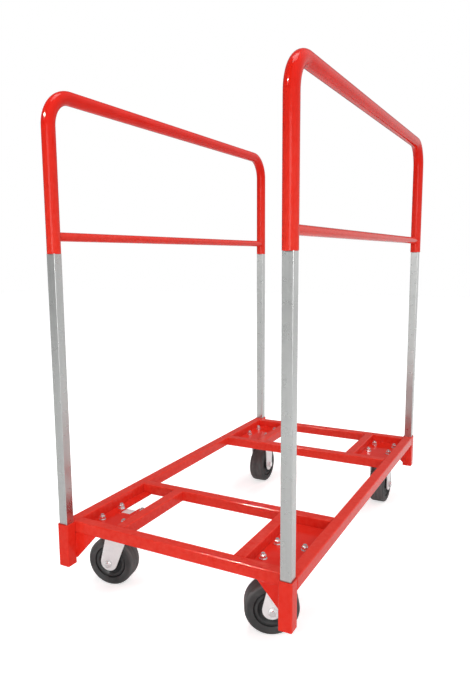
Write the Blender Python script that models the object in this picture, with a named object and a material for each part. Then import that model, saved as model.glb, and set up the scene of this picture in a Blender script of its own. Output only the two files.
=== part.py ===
"""Table mover cart: a low square-tube deck on four casters, with a lift-out hoop along each side.

Units are metres and +Z is up. +X runs from the left hoop to the right hoop, and +Y from the swivel
casters to the rigid ones. The origin is on the floor, under the middle of the deck.
"""
import math

import bmesh
import bpy
from mathutils import Matrix, Vector

# Posts and their layout
post_spacing_across = 0.6134
post_spacing_along = 1.193
post_size = 0.0257
post_wall = 0.002
post_corner_radius = 0.0025
post_height_above_deck = 0.686

# Hoops
hoop_tube_radius = 0.017
hoop_tube_wall = 0.002
hoop_bend_radius = 0.076
hoop_rise_above_post = 0.3727
low_bar_radius = 0.0111
low_bar_wall = 0.0018
low_bar_rise_above_post = 0.0403

# Pockets that the posts stand in
pocket_wall = 0.0028
pocket_clearance = 0.00045
pocket_corner_radius = 0.0035
pocket_length = 0.1125
pocket_floor = 0.003
gusset_thickness = 0.005
gusset_reach = 0.0624
gusset_toe_rise = 0.0134

# Deck tubes and plates
rail_size = 0.03
rail_wall = 0.0025
rail_corner_radius = 0.003
front_bay_length = 0.2745
rear_bay_length = 0.252
bay_side_clearance = 0.0036
bay_plate_thickness = 0.005

# Cut-out in the front left bay plate, placed from the bolt nearest to it
cutout_strip_land = 0.0035
cutout_tab_land = 0.0218
cutout_tab_length = 0.023
cutout_notch_depth = 0.0228

# Wheels
wheel_radius = 0.0668
wheel_width = 0.052
wheel_shoulder_radius = 0.0075
wheel_groove_radius = 0.0445
wheel_rim_slope = 0.0035
wheel_groove_depth = 0.0035
wheel_web_radius = 0.031
wheel_web_depth = 0.006
wheel_hub_radius = 0.017
wheel_hub_gap = 0.001
wheel_sides = 24

# Axle bolt, with its nut and spacer sleeve
axle_radius = 0.00635
axle_hole_clearance = 0.0003
sleeve_radius = 0.0095
wheel_bore_clearance = 0.0003
axle_head_across_flats = 0.019
axle_head_thickness = 0.0079
axle_nut_thickness = 0.0095
axle_tip_length = 0.003

# Swivel and rigid caster housings
caster_plate_across = 0.1016
caster_plate_along = 0.1143
caster_plate_thickness = 0.005
caster_plate_corner_radius = 0.009
fork_thickness = 0.0035
fork_bend_radius = 0.007
fork_side_gap = 0.0025
crown_clearance = 0.0171
crown_ahead = 0.030
crown_behind = 0.034
leg_end_radius = 0.024
leg_end_rise = 0.0025
rigid_leg_bolt_clearance = 0.002925
caster_trail = 0.030
head_height = 0.0285
head_rim_gap = 0.004
cup_wall = 0.0062
head_foot_radius = 0.0305
race_radius = 0.034
race_side_gap = 0.0008
race_floor_height = 0.008
kingpin_radius = 0.0065
kingpin_clearance = 0.0005
kingpin_nut_across_flats = 0.022
kingpin_nut_thickness = 0.008

# Places and headings of the casters: each sits back from the inner face of its end rail
front_caster_setback = 0.0991
rear_caster_setback = 0.0881
front_left_heading_degrees = 190.5
front_right_heading_degrees = 207.5
rear_heading_degrees = 90.0

# Mounting slots and bolts: each slot runs from the long pattern to the square one
long_pattern_across = 0.0667
long_pattern_along = 0.0921
square_pattern = 0.0762
slot_width = 0.0107
bolt_radius = 0.0047625
bolt_hole_clearance = 0.0004
bolt_head_across_flats = 0.0143
bolt_head_thickness = 0.006
bolt_nut_thickness = 0.0083
bolt_tip_length = 0.0045
washer_radius = 0.0098
washer_thickness = 0.0016

# Gaps between pieces that are welded or clamped, and the overrun of every cut
seat_gap = 0.0003
cut_overrun = 0.002

# Facets
corner_steps = 2
bend_steps = 6
hoop_sides = 16
bar_sides = 12
round_sides = 20
fastener_sides = 12
leg_end_steps = 8
slot_end_steps = 3
smooth_angle = math.radians(50.0)

# Heights, from the floor up
axle_height = wheel_radius * math.cos(math.pi / wheel_sides)
crown_underside = axle_height + wheel_radius + crown_clearance
crown_top = crown_underside + fork_thickness
plate_underside = crown_top + head_height
plate_top = plate_underside + caster_plate_thickness
rail_underside = plate_top + seat_gap
deck_top = rail_underside + rail_size
post_top = deck_top + post_height_above_deck
pocket_bottom = deck_top - pocket_length
post_foot = pocket_bottom + pocket_floor + seat_gap
hoop_foot = post_top + seat_gap
hoop_top_centre = post_top + hoop_rise_above_post
low_bar_centre = post_top + low_bar_rise_above_post

# Places across and along the deck
post_x = post_spacing_across / 2
post_y = post_spacing_along / 2
pocket_size = post_size + 2 * pocket_clearance + 2 * pocket_wall
pocket_outer_x = post_x + pocket_size / 2
pocket_inner_x = post_x - pocket_size / 2
pocket_inner_y = post_y - pocket_size / 2
side_rail_x = pocket_outer_x - rail_size / 2
side_rail_inner_x = pocket_outer_x - rail_size
rail_end_y = pocket_inner_y - seat_gap
end_rail_y = rail_end_y - rail_size / 2
end_rail_inner_y = rail_end_y - rail_size
bay_member_outer_x = side_rail_inner_x - caster_plate_across - 2 * bay_side_clearance
bay_member_x = bay_member_outer_x - rail_size / 2
rail_mid_height = rail_underside + rail_size / 2
caster_x = (bay_member_outer_x + side_rail_inner_x) / 2
front_caster_y = end_rail_inner_y - front_caster_setback
rear_caster_y = end_rail_inner_y - rear_caster_setback
bolt_offset_x = (long_pattern_across + square_pattern) / 4
bolt_offset_y = (long_pattern_along + square_pattern) / 4
bolt_hole_radius = bolt_radius + bolt_hole_clearance

# Widths of the fork, bracket and swivel head
leg_inner = wheel_width / 2 + fork_side_gap
leg_outer = leg_inner + fork_thickness
head_rim_radius = race_radius + race_side_gap + cup_wall
rigid_leg_half_width = bolt_offset_y - bolt_head_across_flats / 2 - rigid_leg_bolt_clearance

SIDES = {"left": -1, "right": 1}
ENDS = {"front": -1, "rear": 1}
CROSS_MEMBER_OUTER_Y = {
    "front": end_rail_inner_y - front_bay_length,
    "rear": end_rail_inner_y - rear_bay_length,
}
CASTER_Y = {"front": -front_caster_y, "rear": rear_caster_y}
SWIVEL_HEADINGS = {
    "left": math.radians(front_left_heading_degrees),
    "right": math.radians(front_right_heading_degrees),
}
RIGID_HEADING = math.radians(rear_heading_degrees)
SLOT_SIGNS = ((-1, -1), (-1, 1), (1, -1), (1, 1))


def clear_scene():
    for item in list(bpy.data.objects):
        bpy.data.objects.remove(item, do_unlink=True)


def make_material(name, colour, roughness, metallic):
    material = bpy.data.materials.new(name)
    material.use_nodes = True
    shader = material.node_tree.nodes["Principled BSDF"]
    shader.inputs["Base Color"].default_value = (*colour, 1.0)
    shader.inputs["Roughness"].default_value = roughness
    shader.inputs["Metallic"].default_value = metallic
    return material


def red_paint(name):
    return make_material(name + "_paint", (0.80, 0.045, 0.028), 0.35, 0.0)


def zinc(name):
    return make_material(name + "_zinc", (0.80, 0.81, 0.82), 0.32, 1.0)


def bare_steel(name):
    return make_material(name + "_steel", (0.62, 0.63, 0.62), 0.45, 0.8)


def rubber(name):
    return make_material(name + "_rubber", (0.045, 0.045, 0.048), 0.6, 0.0)


# Placing and joining objects


def place(name, shape, material=None, location=(0, 0, 0), rotation=None, parent=None):
    """Turn a bmesh into a named, smooth-shaded object."""
    bmesh.ops.recalc_face_normals(shape, faces=shape.faces)
    mesh = bpy.data.meshes.new(name)
    shape.to_mesh(mesh)
    shape.free()
    mesh.shade_smooth()
    mesh.set_sharp_from_angle(angle=smooth_angle)
    item = bpy.data.objects.new(name, mesh)
    bpy.context.collection.objects.link(item)
    if material:
        mesh.materials.append(material)
    item.parent = parent
    item.location = location
    if rotation is not None:
        item.rotation_euler = rotation
    return item


def axis_empty(name, location, heading):
    empty = bpy.data.objects.new(name, None)
    bpy.context.collection.objects.link(empty)
    empty.location = location
    empty.rotation_euler = (0, 0, heading)
    return empty


def combine(target, tool, operation):
    """Cut, join or intersect the target with a hidden tool body."""
    tool.hide_render = True
    tool.display_type = "WIRE"
    modifier = target.modifiers.new(operation.lower(), "BOOLEAN")
    modifier.operation = operation
    modifier.solver = "EXACT"
    modifier.object = tool


# Outlines and basic bodies


def rounded_rectangle(width, depth, radius, steps):
    points = []
    for quarter in range(4):
        start = quarter * math.pi / 2
        sign_x = 1 if quarter in (0, 3) else -1
        sign_y = 1 if quarter in (0, 1) else -1
        centre_x = sign_x * (width / 2 - radius)
        centre_y = sign_y * (depth / 2 - radius)
        for step in range(steps + 1):
            angle = start + step / steps * math.pi / 2
            points.append((centre_x + radius * math.cos(angle), centre_y + radius * math.sin(angle)))
    return points


def circle(radius, sides, phase=0.0):
    turn = 2 * math.pi / sides
    return [
        (radius * math.cos(phase + step * turn), radius * math.sin(phase + step * turn))
        for step in range(sides)
    ]


def hexagon(across_flats):
    """A hexagon with a point at each corner and at the middle of each flat."""
    flat = across_flats / 2
    corner = flat / math.cos(math.pi / 6)
    points = []
    for step in range(fastener_sides):
        reach = corner if step % 2 else flat
        angle = step * 2 * math.pi / fastener_sides
        points.append((reach * math.cos(angle), reach * math.sin(angle)))
    return points


def prism(outline, low, high):
    """A body with the outline's section from height low to height high."""
    shape = bmesh.new()
    face = shape.faces.new([shape.verts.new((x, y, low)) for x, y in outline])
    raised = bmesh.ops.extrude_face_region(shape, geom=[face])["geom"]
    lift = Vector((0, 0, high - low))
    bmesh.ops.translate(shape, vec=lift, verts=[v for v in raised if isinstance(v, bmesh.types.BMVert)])
    return shape


def skin_rings(rings, closed_loop):
    """A body whose skin runs over rings of equal point count, capped at both ends unless it loops."""
    shape = bmesh.new()
    loops = [[shape.verts.new(point) for point in ring] for ring in rings]
    pairs = list(zip(loops, loops[1:]))
    if closed_loop:
        pairs.append((loops[-1], loops[0]))
    else:
        shape.faces.new(loops[0])
        shape.faces.new(loops[-1])
    for near, far in pairs:
        for step in range(len(near)):
            after = (step + 1) % len(near)
            shape.faces.new((near[step], near[after], far[after], far[step]))
    return shape


def stack(sections):
    """A body of sections on one axis; each section is a height and an outline."""
    return skin_rings([[(x, y, height) for x, y in outline] for height, outline in sections], False)


def tube(outer, inner, length):
    """A straight hollow tube from the floor of its own axes up to its length."""
    rings = []
    for height, outline in ((0, outer), (length, outer), (length, inner), (0, inner)):
        rings.append([(x, y, height) for x, y in outline])
    return skin_rings(rings, True)


def square_tube(size, wall, radius, length):
    outer = rounded_rectangle(size, size, radius, corner_steps)
    inner_size = size - 2 * wall
    inner = rounded_rectangle(inner_size, inner_size, max(radius - wall, radius / 4), corner_steps)
    return tube(outer, inner, length)


def turned(profile, sides, phase=0.0):
    """Revolve a closed profile of radius and height pairs about the upright axis."""
    rings = []
    for radius, height in profile:
        rings.append([(x, y, height) for x, y in circle(radius, sides, phase)])
    return skin_rings(rings, True)


def arc(centre, radius, start, end, steps):
    points = []
    for step in range(steps + 1):
        angle = start + (end - start) * step / steps
        points.append((centre[0] + radius * math.cos(angle), centre[1] + radius * math.sin(angle)))
    return points


def lay_along(start, end):
    """Rotation that lays a body's upright axis along the line from start to end."""
    return (Vector(end) - Vector(start)).to_track_quat("Z", "Y").to_euler()


# Deck


def rail(name, start, end):
    length = (Vector(end) - Vector(start)).length
    shape = square_tube(rail_size, rail_wall, rail_corner_radius, length)
    return place(name, shape, red_paint(name), start, lay_along(start, end))


def build_rails():
    for side, sign in SIDES.items():
        x = sign * side_rail_x
        rail("side_rail_" + side, (x, -rail_end_y, rail_mid_height), (x, rail_end_y, rail_mid_height))
    reach = side_rail_inner_x - seat_gap
    for end, sign in ENDS.items():
        cross_member_y = CROSS_MEMBER_OUTER_Y[end] - rail_size / 2
        for kind, distance in (("end_rail_", end_rail_y), ("cross_member_", cross_member_y)):
            y = sign * distance
            rail(kind + end, (-reach, y, rail_mid_height), (reach, y, rail_mid_height))
        for side, side_sign in SIDES.items():
            x = side_sign * bay_member_x
            near = (x, sign * (CROSS_MEMBER_OUTER_Y[end] + seat_gap), rail_mid_height)
            far = (x, sign * (end_rail_inner_y - seat_gap), rail_mid_height)
            rail("bay_member_" + end + "_" + side, near, far)


def bolt_places(end, side):
    """Centres of a caster's four bolts, the two on the deck's outer side last."""
    centre_x = SIDES[side] * caster_x
    places = []
    for across in (-SIDES[side], SIDES[side]):
        for along in (-ENDS[end], ENDS[end]):
            x = centre_x + across * bolt_offset_x
            y = CASTER_Y[end] + along * bolt_offset_y
            places.append((x, y))
    return places


def bay_outline(end, side):
    """The plate's outline inside its bay, in the deck's own axes."""
    low_x = bay_member_outer_x + seat_gap
    high_x = side_rail_inner_x - seat_gap
    low_y = CROSS_MEMBER_OUTER_Y[end] + seat_gap
    high_y = end_rail_inner_y - seat_gap
    if (end, side) != ("front", "left"):
        points = [(low_x, low_y), (high_x, low_y), (high_x, high_y), (low_x, high_y)]
    else:
        strip_x = caster_x + bolt_offset_x - bolt_hole_radius - cutout_strip_land
        tab_x = caster_x - bolt_offset_x + bolt_hole_radius + cutout_tab_land
        bolt_row_y = front_caster_y - bolt_offset_y
        tab_end_y = bolt_row_y - cutout_tab_length
        notch_y = bolt_row_y + cutout_notch_depth
        points = [
            (strip_x, low_y),
            (high_x, low_y),
            (high_x, high_y),
            (low_x, high_y),
            (low_x, tab_end_y),
            (tab_x, tab_end_y),
            (tab_x, notch_y),
            (strip_x, notch_y),
        ]
    return [(SIDES[side] * x, ENDS[end] * y) for x, y in points]


def build_bay_plates():
    top = rail_underside + bay_plate_thickness
    for end in ENDS:
        for side in SIDES:
            name = "bay_plate_" + end + "_" + side
            plate = place(name, prism(bay_outline(end, side), rail_underside, top), red_paint(name))
            for number, (x, y) in enumerate(bolt_places(end, side)):
                outline = circle(bolt_hole_radius, fastener_sides)
                drill = prism(outline, rail_underside - cut_overrun, top + cut_overrun)
                combine(plate, place(name + "_drill_" + str(number), drill, None, (x, y, 0)), "DIFFERENCE")


def build_pockets():
    outer = rounded_rectangle(pocket_size, pocket_size, pocket_corner_radius, corner_steps)
    bore_size = pocket_size - 2 * pocket_wall
    bore_radius = pocket_corner_radius - pocket_wall
    bore = rounded_rectangle(bore_size, bore_size, bore_radius, corner_steps)
    for end, end_sign in ENDS.items():
        for side, side_sign in SIDES.items():
            corner = end + "_" + side
            name = "post_pocket_" + corner
            sections = [
                (pocket_bottom, outer),
                (deck_top, outer),
                (deck_top, bore),
                (pocket_bottom + pocket_floor, bore),
            ]
            location = (side_sign * post_x, end_sign * post_y, 0)
            place(name, stack(sections), red_paint(name), location)
            build_gusset(corner, side_sign, end_sign)


def build_gusset(corner, side_sign, end_sign):
    """A plate under the end rail that braces the back of the pocket."""
    name = "pocket_gusset_" + corner
    top = rail_underside - seat_gap
    low = pocket_bottom + gusset_toe_rise
    outline = [
        (side_sign * post_x, top),
        (side_sign * (pocket_inner_x - gusset_reach), top),
        (side_sign * pocket_inner_x, low),
        (side_sign * post_x, low),
    ]
    shape = prism(outline, rail_end_y - gusset_thickness, rail_end_y)
    upright = Matrix(((1, 0, 0), (0, 0, end_sign), (0, 1, 0))).to_4x4()
    bmesh.ops.transform(shape, matrix=upright, verts=shape.verts)
    place(name, shape, red_paint(name))


# Hoops


def hoop_path():
    """Centres and tangents up one leg, over the two bends and down the other leg."""
    bend_height = hoop_top_centre - hoop_bend_radius
    bend_y = post_y - hoop_bend_radius
    stations = [((-post_y, hoop_foot), (0, 1))]
    for sign, start in ((-1, math.pi), (1, math.pi / 2)):
        for step in range(bend_steps + 1):
            angle = start - step / bend_steps * math.pi / 2
            y = sign * bend_y + hoop_bend_radius * math.cos(angle)
            z = bend_height + hoop_bend_radius * math.sin(angle)
            stations.append(((y, z), (math.sin(angle), -math.cos(angle))))
    stations.append(((post_y, hoop_foot), (0, -1)))
    return stations


def hoop_rings(radius):
    rings = []
    for (y, z), (along_y, along_z) in hoop_path():
        ring = []
        for across, up in circle(radius, hoop_sides):
            ring.append((across, y - up * along_z, z + up * along_y))
        rings.append(ring)
    return rings


def build_hoops():
    for side, sign in SIDES.items():
        x = sign * post_x
        name = "hoop_tube_" + side
        rings = hoop_rings(hoop_tube_radius) + hoop_rings(hoop_tube_radius - hoop_tube_wall)[::-1]
        place(name, skin_rings(rings, True), red_paint(name), (x, 0, 0))
        build_low_bar(side, x)
        for end, end_sign in ENDS.items():
            name = "hoop_post_" + end + "_" + side
            shape = square_tube(post_size, post_wall, post_corner_radius, post_top - post_foot)
            place(name, shape, bare_steel(name), (x, end_sign * post_y, post_foot))


def build_low_bar(side, x):
    """The thin bar between the legs, with its ends coped to their round faces."""
    name = "hoop_low_bar_" + side
    outer = circle(low_bar_radius, bar_sides)
    inner = circle(low_bar_radius - low_bar_wall, bar_sides)
    start = (x, -post_y, low_bar_centre)
    end = (x, post_y, low_bar_centre)
    bar = place(name, tube(outer, inner, 2 * post_y), red_paint(name), start, lay_along(start, end))
    low = low_bar_centre - low_bar_radius - cut_overrun
    high = low_bar_centre + low_bar_radius + cut_overrun
    for end_name, end_sign in ENDS.items():
        leg = prism(circle(hoop_tube_radius + seat_gap, hoop_sides), low, high)
        cutter = place(name + "_cope_" + end_name, leg, None, (x, end_sign * post_y, 0))
        combine(bar, cutter, "DIFFERENCE")


# Casters, in axes with X along the trail, Y along the axle and Z up from the floor


def along_axle(shape):
    """Turn a body from the upright axis onto the axle's axis."""
    bmesh.ops.rotate(shape, cent=(0, 0, 0), matrix=Matrix.Rotation(-math.pi / 2, 3, "X"), verts=shape.verts)
    return shape


def wheel_profile():
    """The half profile from the bore's middle out over one face, as radius and distance from mid-plane."""
    half = wheel_width / 2
    bore = sleeve_radius + wheel_bore_clearance
    hub_face = leg_inner - wheel_hub_gap
    shoulder = (wheel_radius - wheel_shoulder_radius, half - wheel_shoulder_radius)
    rim_face = half - wheel_groove_depth / 2
    points = [
        (bore, hub_face),
        (wheel_hub_radius, hub_face),
        (wheel_hub_radius, half - wheel_web_depth),
        (wheel_web_radius, half - wheel_web_depth),
        (wheel_web_radius + wheel_rim_slope, rim_face),
        (wheel_groove_radius, rim_face - wheel_groove_depth),
        (wheel_groove_radius, half),
    ]
    rounded = arc(shoulder, wheel_shoulder_radius, math.pi / 2, 0, corner_steps)
    return points + rounded


def wheel_shape():
    half_profile = wheel_profile()
    mirrored = [(radius, -offset) for radius, offset in half_profile[::-1]]
    facet_down = math.pi / wheel_sides - math.pi / 2
    return along_axle(turned(half_profile + mirrored, wheel_sides, facet_down))


def axle_shape():
    """Hex head, shank, spacer sleeve between the legs, nut and bolt tip."""
    shank = circle(axle_radius, fastener_sides)
    sleeve = circle(sleeve_radius, fastener_sides)
    head = hexagon(axle_head_across_flats)
    sleeve_end = leg_inner - seat_gap
    seat = leg_outer + seat_gap
    nut_end = seat + axle_nut_thickness
    sections = [
        (-seat - axle_head_thickness, head),
        (-seat, head),
        (-seat, shank),
        (-sleeve_end, shank),
        (-sleeve_end, sleeve),
        (sleeve_end, sleeve),
        (sleeve_end, shank),
        (seat, shank),
        (seat, head),
        (nut_end, head),
        (nut_end, shank),
        (nut_end + axle_tip_length, shank),
    ]
    return along_axle(stack(sections))


def leg_silhouette(top_ahead, top_behind, trail, top):
    """Side view of the legs: straight edges that run down onto the round leg end at the axle."""
    centre = Vector((trail, axle_height + leg_end_rise))
    corners = (Vector((top_behind, top)), Vector((-top_ahead, top)))
    touch = []
    for corner, turn in zip(corners, (-1, 1)):
        line = corner - centre
        spread = math.acos(leg_end_radius / line.length)
        touch.append(math.atan2(line.y, line.x) + turn * spread)
    start, end = touch[1], touch[0] + 2 * math.pi
    return [tuple(corners[0]), tuple(corners[1])] + arc(centre, leg_end_radius, start, end, leg_end_steps)


def folded_section(top, bottom):
    """Section of a strip folded down on both sides, as distance from mid-plane and height."""
    outer_r = fork_bend_radius
    inner_r = fork_bend_radius - fork_thickness
    bend_y = leg_outer - outer_r
    bend_z = top - outer_r
    outer = arc((bend_y, bend_z), outer_r, 0, math.pi / 2, corner_steps)
    outer += arc((-bend_y, bend_z), outer_r, math.pi / 2, math.pi, corner_steps)
    inner = arc((-bend_y, bend_z), inner_r, math.pi, math.pi / 2, corner_steps)
    inner += arc((bend_y, bend_z), inner_r, math.pi / 2, 0, corner_steps)
    left_end = [(-leg_outer, bottom), (-leg_inner, bottom)]
    return [(leg_outer, bottom)] + outer + left_end + inner + [(leg_inner, bottom)]


def folded_legs(name, material, parent, top, top_ahead, top_behind, trail):
    """Two legs and their crown, folded from one strip and trimmed to the side view."""
    bottom = axle_height + leg_end_rise - leg_end_radius - cut_overrun
    low = -top_ahead - cut_overrun
    high = max(top_behind, trail + leg_end_radius) + cut_overrun
    strip = prism(folded_section(top, bottom), low, high)
    lay_on_trail = Matrix(((0, 0, 1), (1, 0, 0), (0, 1, 0))).to_4x4()
    bmesh.ops.transform(strip, matrix=lay_on_trail, verts=strip.verts)
    legs = place(name, strip, material, parent=parent)
    reach = leg_outer + cut_overrun
    view = prism(leg_silhouette(top_ahead, top_behind, trail, top + cut_overrun), -reach, reach)
    stand_up = Matrix(((1, 0, 0), (0, 0, 1), (0, 1, 0))).to_4x4()
    bmesh.ops.transform(view, matrix=stand_up, verts=view.verts)
    combine(legs, place(name + "_side_view", view, parent=parent), "INTERSECT")
    axle_hole = along_axle(prism(circle(axle_radius + axle_hole_clearance, fastener_sides), -reach, reach))
    drill = place(name + "_axle_drill", axle_hole, None, (trail, 0, axle_height), parent=parent)
    combine(legs, drill, "DIFFERENCE")
    return legs


def build_swivel_fork(corner, parent):
    """The pressed fork with the cup of its swivel head raised on the crown."""
    name = "caster_fork_" + corner
    fork = folded_legs(name, zinc(name), parent, crown_top, crown_ahead, crown_behind, caster_trail)
    rim = plate_underside - head_rim_gap
    race_floor = crown_top + race_floor_height
    bore = race_radius + race_side_gap
    hole = kingpin_radius + kingpin_clearance
    cup = turned(
        [
            (hole, crown_top - fork_thickness / 2),
            (head_foot_radius, crown_top - fork_thickness / 2),
            (head_foot_radius, crown_top),
            (head_rim_radius, race_floor),
            (head_rim_radius, rim),
            (bore, rim),
            (bore, race_floor),
            (hole, race_floor),
        ],
        round_sides,
    )
    combine(fork, place(name + "_cup", cup, parent=parent), "UNION")
    drill = prism(circle(hole, round_sides), crown_underside - cut_overrun, race_floor + cut_overrun)
    combine(fork, place(name + "_kingpin_drill", drill, parent=parent), "DIFFERENCE")


def slotted_plate(name, centre_x, centre_y):
    """A caster's top plate, with a slot at each bolt from the long pattern to the square one."""
    radius = caster_plate_corner_radius
    outline = rounded_rectangle(caster_plate_across, caster_plate_along, radius, corner_steps)
    plate = place(name, prism(outline, plate_underside, plate_top), zinc(name), (centre_x, centre_y, 0))
    for number, (sign_x, sign_y) in enumerate(SLOT_SIGNS):
        far = Vector((sign_x * long_pattern_across / 2, sign_y * long_pattern_along / 2))
        near = Vector((sign_x * square_pattern / 2, sign_y * square_pattern / 2))
        turn = math.atan2(near.y - far.y, near.x - far.x)
        half = (near - far).length / 2
        outline = arc((half, 0), slot_width / 2, -math.pi / 2, math.pi / 2, slot_end_steps)
        outline += arc((-half, 0), slot_width / 2, math.pi / 2, 3 * math.pi / 2, slot_end_steps)
        slot = prism(outline, plate_underside - cut_overrun, plate_top + cut_overrun)
        middle = (far + near) / 2
        location = (centre_x + middle.x, centre_y + middle.y, 0)
        tool = place(name + "_slot_" + str(number), slot, None, location, (0, 0, turn))
        combine(plate, tool, "DIFFERENCE")
    return plate


def build_swivel_plate(corner, centre_x, centre_y):
    """Top plate with the upper race and the kingpin that the fork hangs on."""
    name = "caster_plate_" + corner
    plate = slotted_plate(name, centre_x, centre_y)
    race_end = crown_top + race_floor_height + seat_gap
    nut_top = crown_underside - seat_gap
    race = circle(race_radius, round_sides)
    pin = circle(kingpin_radius, round_sides)
    pin_body = stack(
        [
            (nut_top - cut_overrun, pin),
            (race_end, pin),
            (race_end, race),
            (plate_top - caster_plate_thickness / 2, race),
        ]
    )
    combine(plate, place(name + "_kingpin", pin_body, None, (centre_x, centre_y, 0)), "UNION")
    nut = prism(hexagon(kingpin_nut_across_flats), nut_top - kingpin_nut_thickness, nut_top)
    combine(plate, place(name + "_nut", nut, None, (centre_x, centre_y, 0)), "UNION")


def build_rigid_bracket(corner, centre_x, centre_y, parent):
    """Pressed bracket of a rigid caster, its crown welded under the slotted plate."""
    name = "caster_bracket_" + corner
    bracket = slotted_plate(name, centre_x, centre_y)
    half_top = rigid_leg_half_width
    top = plate_underside + fork_thickness / 2
    legs = folded_legs(name + "_legs", None, parent, top, half_top, half_top, 0)
    combine(bracket, legs, "UNION")


def build_rolling_parts(corner, parent, trail):
    for kind, shape, finish in (("wheel", wheel_shape(), rubber), ("axle", axle_shape(), zinc)):
        name = "caster_" + kind + "_" + corner
        place(name, shape, finish(name), (trail, 0, axle_height), parent=parent)


def build_casters():
    for side, sign in SIDES.items():
        x = sign * caster_x
        corner = "front_" + side
        swivel = axis_empty("swivel_axis_" + side, (x, CASTER_Y["front"], 0), SWIVEL_HEADINGS[side])
        build_swivel_plate(corner, x, CASTER_Y["front"])
        build_swivel_fork(corner, swivel)
        build_rolling_parts(corner, swivel, caster_trail)
        corner = "rear_" + side
        rigid = axis_empty("rigid_axis_" + side, (x, CASTER_Y["rear"], 0), RIGID_HEADING)
        build_rigid_bracket(corner, x, CASTER_Y["rear"], rigid)
        build_rolling_parts(corner, rigid, 0)


def bolt_shape():
    """Hex head under the caster plate, shank, washer and nut on the bay plate, and bolt tip."""
    shank = circle(bolt_radius, fastener_sides)
    washer = circle(washer_radius, fastener_sides)
    head = hexagon(bolt_head_across_flats)
    head_top = plate_underside - seat_gap
    washer_low = rail_underside + bay_plate_thickness + seat_gap
    washer_top = washer_low + washer_thickness
    nut_top = washer_top + bolt_nut_thickness
    return stack(
        [
            (head_top - bolt_head_thickness, head),
            (head_top, head),
            (head_top, shank),
            (washer_low, shank),
            (washer_low, washer),
            (washer_top, washer),
            (washer_top, head),
            (nut_top, head),
            (nut_top, shank),
            (nut_top + bolt_tip_length, shank),
        ]
    )


def build_bolts():
    for end in ENDS:
        for side in SIDES:
            for number, (x, y) in enumerate(bolt_places(end, side), start=1):
                name = "mount_bolt_" + end + "_" + side + "_" + str(number)
                place(name, bolt_shape(), zinc(name), (x, y, 0), (0, 0, math.pi / 2))


clear_scene()
build_rails()
build_bay_plates()
build_pockets()
build_hoops()
build_casters()
build_bolts()
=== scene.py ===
import math

import bmesh
import bpy
from mathutils import Matrix, Vector


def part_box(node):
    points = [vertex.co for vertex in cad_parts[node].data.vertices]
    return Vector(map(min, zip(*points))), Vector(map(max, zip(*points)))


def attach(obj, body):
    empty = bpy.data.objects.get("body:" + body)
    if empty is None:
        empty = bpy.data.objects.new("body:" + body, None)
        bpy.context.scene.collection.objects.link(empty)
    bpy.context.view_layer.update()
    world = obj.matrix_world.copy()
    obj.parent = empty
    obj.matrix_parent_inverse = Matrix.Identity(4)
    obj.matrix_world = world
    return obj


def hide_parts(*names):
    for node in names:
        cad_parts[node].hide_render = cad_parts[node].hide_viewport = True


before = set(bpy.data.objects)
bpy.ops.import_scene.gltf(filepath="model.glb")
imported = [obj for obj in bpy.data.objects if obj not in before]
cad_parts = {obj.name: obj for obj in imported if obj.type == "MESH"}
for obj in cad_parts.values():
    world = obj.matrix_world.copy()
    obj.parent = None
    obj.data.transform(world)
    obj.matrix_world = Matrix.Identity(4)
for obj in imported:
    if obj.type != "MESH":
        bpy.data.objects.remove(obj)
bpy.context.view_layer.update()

# Deck rails
# Square steel tube with rounded corners, sawn square and welded into one flat frame: two side rails,
# two end rails, two cross-members and four short bay members, red powder coat all over.

rail_wall = 0.0025
rail_corner_radius = 0.003
weld_gap = 0.0003
corner_steps = 5
crease_angle = math.radians(38)

cloud_roughness = 0.55
cloud_range = (0.32, 0.68)
thin_edge_range = (0.52, 0.60)
dusty_slope = (0.55, 1.0)
dusty_patches = (0.35, 0.75)
dust_colour = (0.42, 0.37, 0.33, 1)

paint_bright = (0.83, 0.017, 0.007, 1)
paint_deep = (0.74, 0.013, 0.005, 1)
paint_thin = (0.86, 0.075, 0.048, 1)
paint_wear = 0.8
paint_dust = 0.03
paint_gloss = (0.06, 0.10)
paint_specular = 0.145
cloud_scale = 7.0
gloss_scale = 22.0
peel_scale = 620.0
peel_depth = 0.00002


def feed(tree, node, inputs):
    """Set a node's inputs; each may be a value, another node's socket or a list of sockets."""
    for key, value in inputs.items():
        sockets = value if isinstance(value, list) else [value]
        if isinstance(sockets[0], bpy.types.NodeSocket):
            for socket in sockets:
                tree.links.new(socket, node.inputs[key])
        else:
            node.inputs[key].default_value = value


def add_node(tree, kind, inputs=None, output=0, **properties):
    """One output of a new node, with the node's properties and inputs set."""
    made = tree.nodes.new(kind)
    for key, value in properties.items():
        setattr(made, key, value)
    feed(tree, made, inputs or {})
    return made.outputs[output]


def calc(tree, operation, *values, clamp=False):
    """The result of one sum on values or sockets."""
    return add_node(tree, "ShaderNodeMath", dict(enumerate(values)), operation=operation, use_clamp=clamp)


def rescaled(tree, value, source, target=(0.0, 1.0), **properties):
    """A value carried from one range to another, and held at the ends of the second."""
    inputs = {"From Min": source[0], "From Max": source[1], "To Min": target[0], "To Max": target[1]}
    return add_node(tree, "ShaderNodeMapRange", {"Value": value, **inputs}, **properties)


def on_object(tree):
    """A point's place on its object."""
    return add_node(tree, "ShaderNodeTexCoord", output="Object")


def noise(tree, place, scale, detail, roughness=0.5):
    """Smooth noise at a place, in features a metre."""
    inputs = {"Vector": place, "Scale": scale, "Detail": detail, "Roughness": roughness}
    return add_node(tree, "ShaderNodeTexNoise", inputs)


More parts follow.
